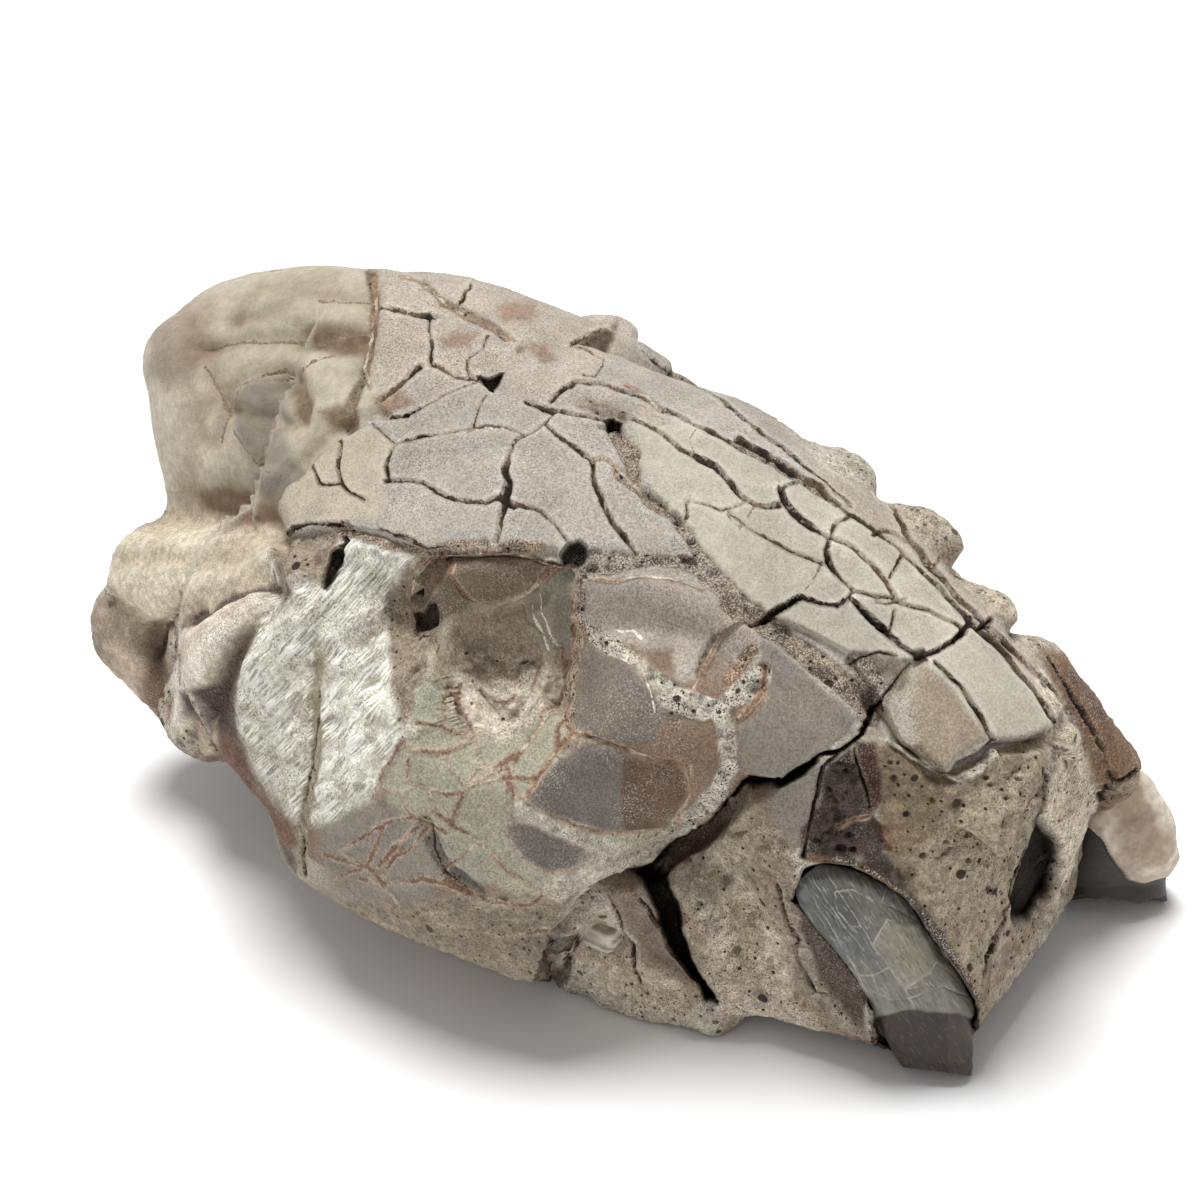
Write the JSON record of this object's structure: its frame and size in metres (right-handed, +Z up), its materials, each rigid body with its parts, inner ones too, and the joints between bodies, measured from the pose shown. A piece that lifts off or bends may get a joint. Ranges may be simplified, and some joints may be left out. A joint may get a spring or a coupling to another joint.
{
  "type": "fossil oreodont skull",
  "caption": "Fossil skull of a small hoofed mammal without its lower jaw, crazed all over with cracks and still set in its stone matrix, with canine teeth in their sockets",
  "frame": {"origin": "the middle of the underside of the bounding box, on the surface that the skull rests on", "axes": "+X runs from the occiput to the snout, +Y is the animal's left, +Z is up"},
  "size_m": [0.1842, 0.1183, 0.0973],
  "materials": {
    "bone_and_matrix": "dry mineralised bone and siltstone, matt",
    "enamel": "fossil tooth enamel, low sheen",
    "dark_tooth": "stained fossil tooth, low sheen"
  },
  "bodies": {
    "root": {"skull": "bone_and_matrix", "right_canine": "enamel", "left_canine": "dark_tooth", "right_molar": "enamel"}
  },
  "joints": []
}
